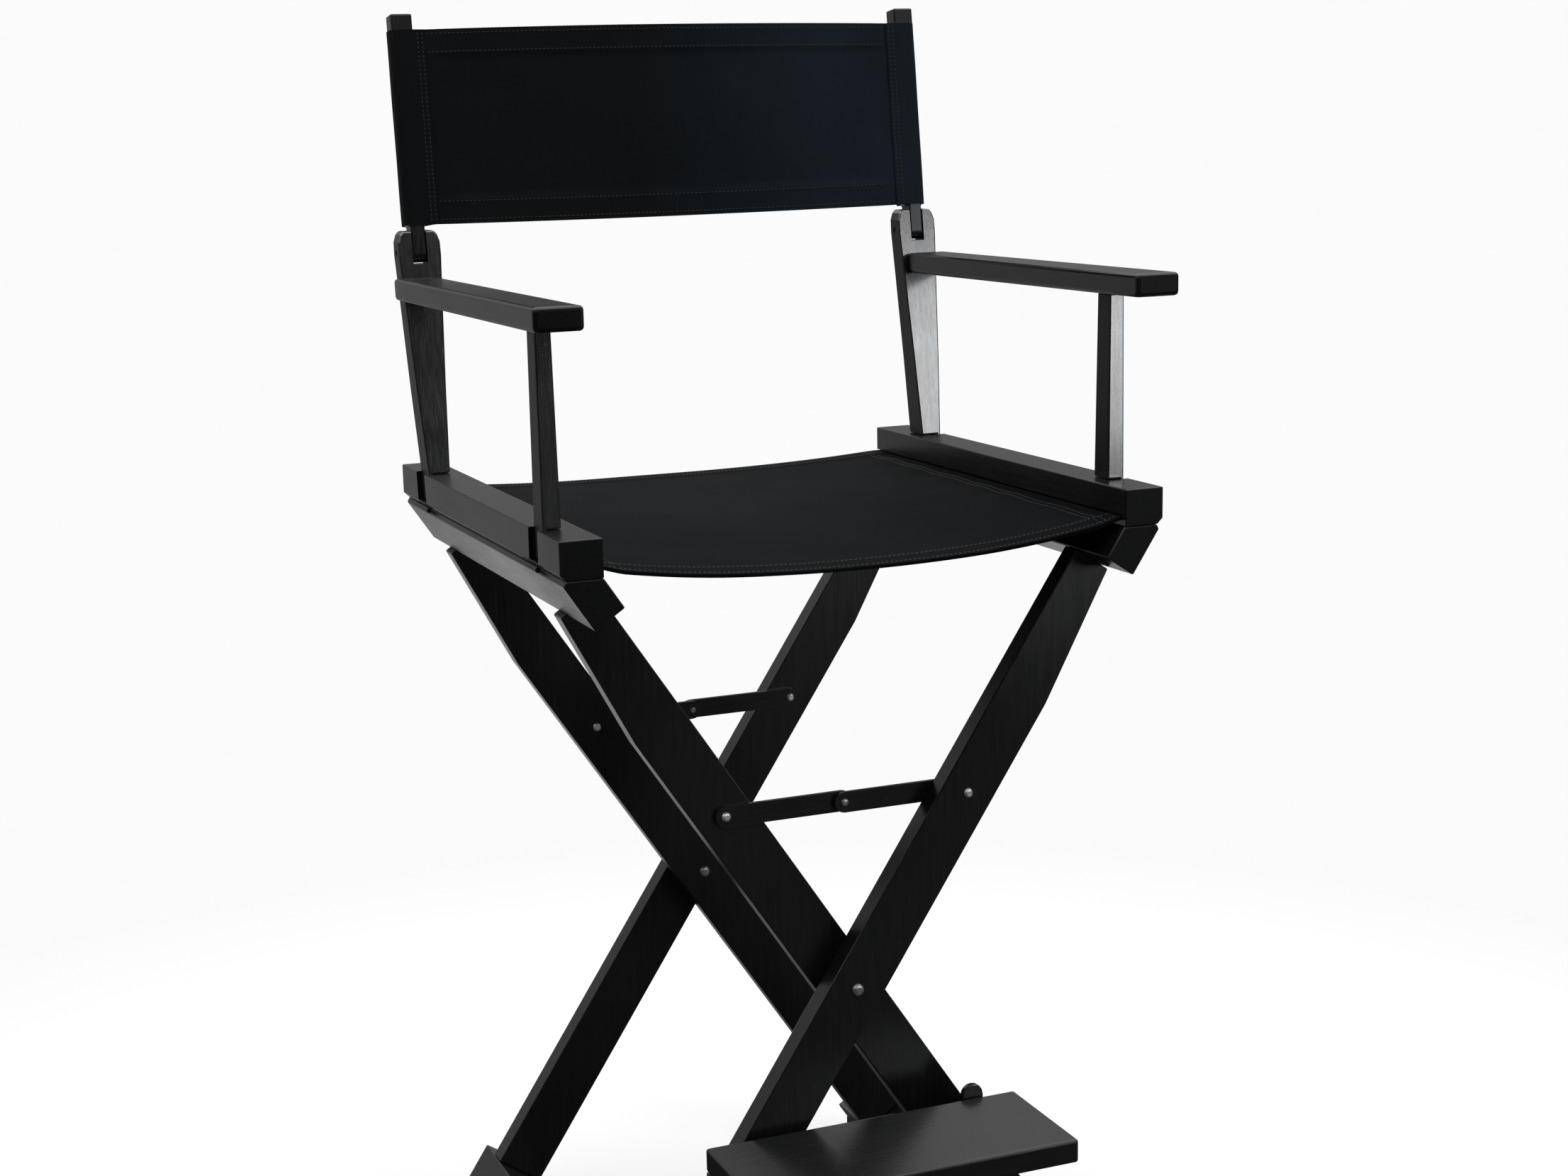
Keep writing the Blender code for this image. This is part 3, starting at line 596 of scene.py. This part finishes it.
BACK_ROWS = back_rows()
for word, side in (("left", -1), ("right", 1)):
    def back_place(u, v, side=side):
        x = side * u * PANEL_OUT
        w = BACK_V0 + v * BACK_LEN + edge_lift(x, v)
        return back_point(x, back_bow(x, w), w)

    def back_grid(u, v, side=side):
        return back_place(u, remap(BACK_ROWS, v), side)

    def back_t(u, v):
        return back_thick(u, remap(BACK_ROWS, v))

    panel = sheet("back_canvas_" + word, back_grid, 40, len(BACK_ROWS) - 1, back_t, [CANVAS_BACK])
    hem = BACK_HEM / BACK_LEN
    edge = (PANEL_OUT - 0.007) / PANEL_OUT
    runs = [
        ("v", hem - 0.014, 0.003, edge, PANEL_OUT), ("v", 0.022, 0.003, edge, PANEL_OUT),
        ("v", 1 - hem + 0.014, 0.003, edge, PANEL_OUT), ("v", 0.978, 0.003, edge, PANEL_OUT),
    ]
    out = 1 if side > 0 else -1
    sewn = stitches("back_stitching_" + word, back_place, back_thick, runs, THREAD_MAT, out)
    for obj in (panel, sewn):
        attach(obj, "back_" + word)
        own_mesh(obj)
    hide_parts("back_cloth_" + word)

    # sleeve around the stick, one folded layer sewn to itself through the panel's edge
    def sleeve_place(u, v, side=side):
        x, forward = sleeve_at(u)
        w = BACK_V0 + v * BACK_LEN
        loose = 0.5 - 0.5 * math.cos(2 * math.pi * u)
        soft = 0.0005 * loose * math.sin(w * 70 + 9 * u) * (0.4 + 0.6 * abs(2 * v - 1))
        return back_point(side * (STICK_X + x * (1 + soft * 20)), forward * (1 + soft * 25), w)

    tube = sheet("back_sleeve_" + word, sleeve_place, 64, 34, lambda u, v: 0.0012, [CANVAS_BACK])
    seam = TAIL / SLEEVE_AT[-1]
    rows = [("u", seam * 0.30, 0.012, 0.988, BACK_LEN), ("u", seam * 0.78, 0.012, 0.988, BACK_LEN)]
    sewn = stitches("sleeve_stitching_" + word, sleeve_place, lambda u, v: 0.0012, rows, THREAD_MAT, out)
    for obj in (tube, sewn):
        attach(obj, "back_" + word)

# ---------------------------------------------------------------- floor, light and camera
BACKDROP = 0.965
FLOOR_TONE = 0.80
FLOOR_RADIUS, FLOOR_SEGMENTS, FLOOR_Z = 2.6, 96, -0.0006
UNSEEN_FRONT_PAINTED_SHADE, UNSEEN_REAR_PAINTED_LIGHT = (0.06, 0.06, 0.06), (0.42, 0.42, 0.42)


def stage_floor():
    """Pale round floor fading into the backdrop; light and reflections meet a darker tone, painted darker
    in front of the chair as shade and lighter behind it as a pool of light.
    """
    bm = bmesh.new()
    centre = bm.verts.new((0, 0, FLOOR_Z))
    ring = []
    for k in range(FLOOR_SEGMENTS):
        a = 2 * math.pi * k / FLOOR_SEGMENTS
        ring.append(bm.verts.new((FLOOR_RADIUS * math.cos(a), FLOOR_RADIUS * math.sin(a), FLOOR_Z)))
    for k in range(FLOOR_SEGMENTS):
        bm.faces.new((centre, ring[k], ring[(k + 1) % FLOOR_SEGMENTS]))
    n = Nodes("studio_floor")
    spots = n.noise(n.coords((1, 1, 1)), 3.0, 3.0, 0.5)
    path = n.add("ShaderNodeLightPath")
    seen = path.outputs["Is Camera Ray"]
    pale = n.mix(spots, (FLOOR_TONE - 0.01,) * 3, (FLOOR_TONE + 0.01,) * 3)
    lie = n.add("ShaderNodeSeparateXYZ")
    n.link(n.add("ShaderNodeTexCoord").outputs["Object"], lie.inputs[0])
    # painted light: for light and reflections the floor is painted shade in front and a painted pool of
    # light behind
    unseen_painted_light = n.mix(n.spread(lie.outputs["Y"], 0.3, 1.3), UNSEEN_FRONT_PAINTED_SHADE, UNSEEN_REAR_PAINTED_LIGHT)
    n.link(n.mix(seen, unseen_painted_light, pale), n.bsdf.inputs["Base Color"])
    n.bsdf.inputs["Roughness"].default_value = 1.0
    n.bsdf.inputs["Specular IOR Level"].default_value = 0.0
    reach = n.add("ShaderNodeVectorMath")
    reach.operation = "LENGTH"
    tex = n.add("ShaderNodeTexCoord")
    n.link(tex.outputs["Object"], reach.inputs[0])
    fade = n.add("ShaderNodeMapRange")
    fade.interpolation_type = "SMOOTHSTEP"
    fade.inputs["From Min"].default_value = 0.35
    fade.inputs["From Max"].default_value = 1.5
    n.link(reach.outputs["Value"], fade.inputs["Value"])
    glow = n.add("ShaderNodeEmission")
    n.link(n.math("MULTIPLY", seen, BACKDROP), glow.inputs["Strength"])
    blend = n.add("ShaderNodeMixShader")
    n.link(n.math("MULTIPLY", fade.outputs["Result"], seen), blend.inputs[0])
    n.link(n.bsdf.outputs[0], blend.inputs[1])
    n.link(glow.outputs[0], blend.inputs[2])
    out = n.tree.nodes["Material Output"]
    n.link(blend.outputs[0], out.inputs["Surface"])
    floor = finish_mesh("studio_floor", bm, [n.mat], False)


stage_floor()


FRONT_LEVEL, REAR_LEFT_LEVEL, REAR_RIGHT_LEVEL, TOP_LEVEL = 0.03, 0.34, 0.22, 1.9


def world_light():
    """White backdrop to the camera; for light and reflections a soft top and a dark front."""
    world = bpy.data.worlds.new("studio")
    bpy.context.scene.world = world
    world.use_nodes = True
    tree = world.node_tree

    def node(kind, **values):
        new = tree.nodes.new(kind)
        for key, value in values.items():
            new.inputs[key.replace("_", " ")].default_value = value
        return new

    def ramp(source, low, high, to_low, to_high):
        new = node("ShaderNodeMapRange", From_Min=low, From_Max=high, To_Min=to_low, To_Max=to_high)
        new.interpolation_type = "SMOOTHSTEP"
        tree.links.new(source, new.inputs["Value"])
        return new.outputs["Result"]

    def blend(fac, a, b):
        new = tree.nodes.new("ShaderNodeMix")
        new.data_type = "FLOAT"
        tree.links.new(fac, new.inputs[0])
        for slot, value in ((new.inputs[2], a), (new.inputs[3], b)):
            if isinstance(value, float):
                slot.default_value = value
            else:
                tree.links.new(value, slot)
        return new.outputs[0]

    coord = tree.nodes.new("ShaderNodeTexCoord")
    split = tree.nodes.new("ShaderNodeSeparateXYZ")
    tree.links.new(coord.outputs["Generated"], split.inputs[0])
    behind = blend(ramp(split.outputs["X"], -0.5, 0.4, 0.0, 1.0), REAR_LEFT_LEVEL, REAR_RIGHT_LEVEL)
    level = blend(ramp(split.outputs["Y"], -0.15, 0.6, 0.0, 1.0), FRONT_LEVEL, behind)
    top = ramp(split.outputs["Z"], 0.22, 0.85, 0.0, TOP_LEVEL)
    total = tree.nodes.new("ShaderNodeMath")
    total.operation = "ADD"
    tree.links.new(level, total.inputs[0])
    tree.links.new(top, total.inputs[1])
    path = tree.nodes.new("ShaderNodeLightPath")
    strength = blend(path.outputs["Is Camera Ray"], total.outputs[0], BACKDROP)
    background = tree.nodes["Background"]
    background.inputs["Color"].default_value = (1.0, 1.0, 1.0, 1.0)
    tree.links.new(strength, background.inputs["Strength"])


world_light()


def area(name, spot, target, width, height, radiance, tint):
    """Rectangular softbox; radiance times its area times pi is its power."""
    data = bpy.data.lights.new(name, "AREA")
    data.shape = "RECTANGLE"
    data.size = width
    data.size_y = height
    data.energy = radiance * width * height * math.pi
    data.color = tint
    obj = bpy.data.objects.new(name, data)
    obj.location = spot
    obj.rotation_euler = (Vector(target) - Vector(spot)).to_track_quat("-Z", "Y").to_euler()
    bpy.context.collection.objects.link(obj)


WINDOW_AT, WINDOW_AIM, WINDOW_SIZE = (1.52, -2.45, 1.04), (0.25, 0.2, 0.9), (0.72, 1.08)
WINDOW_RADIANCE, WINDOW_TINT = 6.2, (0.95, 0.975, 1.0)
area("window_front_right", WINDOW_AT, WINDOW_AIM, *WINDOW_SIZE, WINDOW_RADIANCE, WINDOW_TINT)

CAM_AT = (-0.80368, -1.91928, 1.08729)
YAW, PITCH, ROLL = 0.36075, 0.19114, -0.02814
FOCAL_PX, CENTRE_PX = 3358.6, (978.5, 821.7)
IMAGE_W, IMAGE_H = 2212.0, 1659.0
SENSOR = 36.0
cam_data = bpy.data.cameras.new("photo_camera")
cam = bpy.data.objects.new("photo_camera", cam_data)
bpy.context.collection.objects.link(cam)
fwd = Vector((math.sin(YAW) * math.cos(PITCH), math.cos(YAW) * math.cos(PITCH), -math.sin(PITCH)))
right = Vector((math.cos(YAW), -math.sin(YAW), 0.0))
upward = right.cross(fwd)
tilted = right * math.cos(ROLL) + upward * math.sin(ROLL)
above = upward * math.cos(ROLL) - right * math.sin(ROLL)
turn = Matrix((tilted, above, -fwd)).transposed()
cam.matrix_world = Matrix.Translation(CAM_AT) @ turn.to_4x4()
cam_data.sensor_width = SENSOR
cam_data.lens = FOCAL_PX / IMAGE_W * SENSOR
cam_data.shift_x = (IMAGE_W / 2 - CENTRE_PX[0]) / IMAGE_W
cam_data.shift_y = (CENTRE_PX[1] - IMAGE_H / 2) / IMAGE_W
bpy.context.scene.camera = cam
bpy.context.scene.view_settings.view_transform = "Standard"
